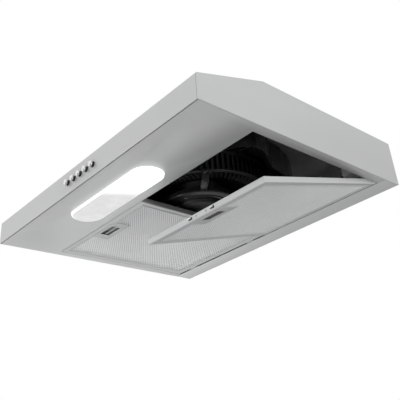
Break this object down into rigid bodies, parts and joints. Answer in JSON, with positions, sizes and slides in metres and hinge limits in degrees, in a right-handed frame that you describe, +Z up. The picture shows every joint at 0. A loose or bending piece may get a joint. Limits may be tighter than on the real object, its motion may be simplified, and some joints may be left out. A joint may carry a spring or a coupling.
{
  "type": "under cabinet range hood",
  "caption": "Slim sheet steel range hood that hangs under a cabinet, with push buttons, a lamp, tilting mesh grease filters, a flat blower and a round duct collar.",
  "frame": {"origin": "on the top face that fits against the cabinet, at the middle of the width and on the fan's vertical axis", "axes": "+X to the cook's right along the width, +Y back to the wall, +Z up out of the top face"},
  "size_m": [0.6, 0.5062, 0.2161],
  "materials": {
    "satin_steel": "satin",
    "plated_steel": "zinc plated",
    "dark_steel": "ground",
    "spring_steel": "drawn wire",
    "aluminium": "satin",
    "filter_mesh": "expanded mesh",
    "latch_case": "silver paint",
    "chrome": "polished",
    "lamp_diffuser": "frosted",
    "lamp_board": "solder mask",
    "white_plastic": "moulded",
    "grey_plastic": "moulded",
    "black_plastic": "moulded, slightly glossy",
    "black_cable": "cable sheath",
    "black_rubber": "matt",
    "winding": "lacquered copper wire"
  },
  "bodies": {
    "hood": {"canopy_sheet": "satin_steel", "side_panel_left": "satin_steel", "side_panel_right": "satin_steel", "rear_panel": "satin_steel", "bottom_panel": "satin_steel", "lamp_lens": "lamp_diffuser", "lamp_tray": "plated_steel", "lamp_board": "lamp_board", "switch_block": "black_plastic", "volute_plate": "black_plastic", "volute_cover": "black_plastic", "motor_bracket": "black_plastic", "bracket_screw_1": "plated_steel", "bracket_screw_2": "plated_steel", "bracket_screw_3": "plated_steel", "bracket_screw_4": "plated_steel", "motor_can": "plated_steel", "motor_end_cap": "black_plastic", "motor_stator": "winding", "bearing_lower": "dark_steel", "bearing_upper": "dark_steel", "duct_collar": "black_plastic", "collar_screw_1": "plated_steel", "collar_screw_2": "plated_steel", "terminal_box": "white_plastic", "terminal_lid": "white_plastic", "capacitor": "grey_plastic", "capacitor_clamp": "plated_steel", "cable_grommet": "black_rubber", "motor_lead": "black_cable", "switch_lead": "black_cable", "lamp_lead": "white_plastic", "button_spring_1": "spring_steel", "button_spring_2": "spring_steel", "button_spring_3": "spring_steel", "button_spring_4": "spring_steel", "button_spring_5": "spring_steel"},
    "filter_left": {"filter_frame_left": "aluminium", "filter_mesh_left": "filter_mesh", "latch_housing_left": "latch_case", "latch_spring_left": "spring_steel"},
    "latch_left": {"latch_slider_left": "chrome"},
    "filter_right": {"filter_frame_right": "aluminium", "filter_mesh_right": "filter_mesh", "latch_housing_right": "latch_case", "latch_spring_right": "spring_steel"},
    "latch_right": {"latch_slider_right": "chrome"},
    "button_1": {"button_1": "chrome"},
    "button_2": {"button_2": "chrome"},
    "button_3": {"button_3": "chrome"},
    "button_4": {"button_4": "chrome"},
    "button_5": {"button_5": "chrome"},
    "fan_wheel": {"impeller": "black_plastic", "impeller_nut": "plated_steel", "motor_shaft": "dark_steel", "motor_rotor": "dark_steel"},
    "flap_left": {"damper_flap_left": "grey_plastic"},
    "flap_right": {"damper_flap_right": "grey_plastic"}
  },
  "joints": [
    {"name": "filter_left_tilt", "type": "hinge", "parent": "hood", "child": "filter_left", "pos_m": [0, 0.183, -0.087], "axis": [1, 0, 0], "range_deg": [0, 45]},
    {"name": "latch_left_slide", "type": "slide", "parent": "filter_left", "child": "latch_left", "axis": [0, 1, 0], "range_m": [0, 0.004], "stiffness_N_per_m": 250, "springref_m": -0.006, "deforming": ["latch_spring_left"]},
    {"name": "filter_right_tilt", "type": "hinge", "parent": "hood", "child": "filter_right", "pos_m": [0, 0.183, -0.087], "axis": [1, 0, 0], "range_deg": [-14.5, 30.5]},
    {"name": "latch_right_slide", "type": "slide", "parent": "filter_right", "child": "latch_right", "axis": [0, 0.9681, 0.2504], "range_m": [0, 0.004], "stiffness_N_per_m": 250, "springref_m": -0.006, "deforming": ["latch_spring_right"]},
    {"name": "button_1_press", "type": "slide", "parent": "hood", "child": "button_1", "axis": [0, 1, 0], "range_m": [0, 0.0035], "stiffness_N_per_m": 300, "springref_m": -0.004, "deforming": ["button_spring_1"]},
    {"name": "button_2_press", "type": "slide", "parent": "hood", "child": "button_2", "axis": [0, 1, 0], "range_m": [0, 0.0035], "stiffness_N_per_m": 300, "springref_m": -0.004, "deforming": ["button_spring_2"]},
    {"name": "button_3_press", "type": "slide", "parent": "hood", "child": "button_3", "axis": [0, 1, 0], "range_m": [0, 0.0035], "stiffness_N_per_m": 300, "springref_m": -0.004, "deforming": ["button_spring_3"]},
    {"name": "button_4_press", "type": "slide", "parent": "hood", "child": "button_4", "axis": [0, 1, 0], "range_m": [0, 0.0035], "stiffness_N_per_m": 300, "springref_m": -0.004, "deforming": ["button_spring_4"]},
    {"name": "button_5_press", "type": "slide", "parent": "hood", "child": "button_5", "axis": [0, 1, 0], "range_m": [0, 0.0035], "stiffness_N_per_m": 300, "springref_m": -0.004, "deforming": ["button_spring_5"]},
    {"name": "fan_spin", "type": "hinge", "parent": "hood", "child": "fan_wheel", "pos_m": [0, 0, -0.044], "axis": [0, 0, 1], "continuous": true},
    {"name": "flap_left_lift", "type": "hinge", "parent": "hood", "child": "flap_left", "pos_m": [0.1513, -0.056, 0.0076], "axis": [0, 1, 0], "range_deg": [0, 78]},
    {"name": "flap_right_lift", "type": "hinge", "parent": "hood", "child": "flap_right", "pos_m": [0.1587, -0.056, 0.0076], "axis": [0, -1, 0], "range_deg": [0, 78]}
  ]
}
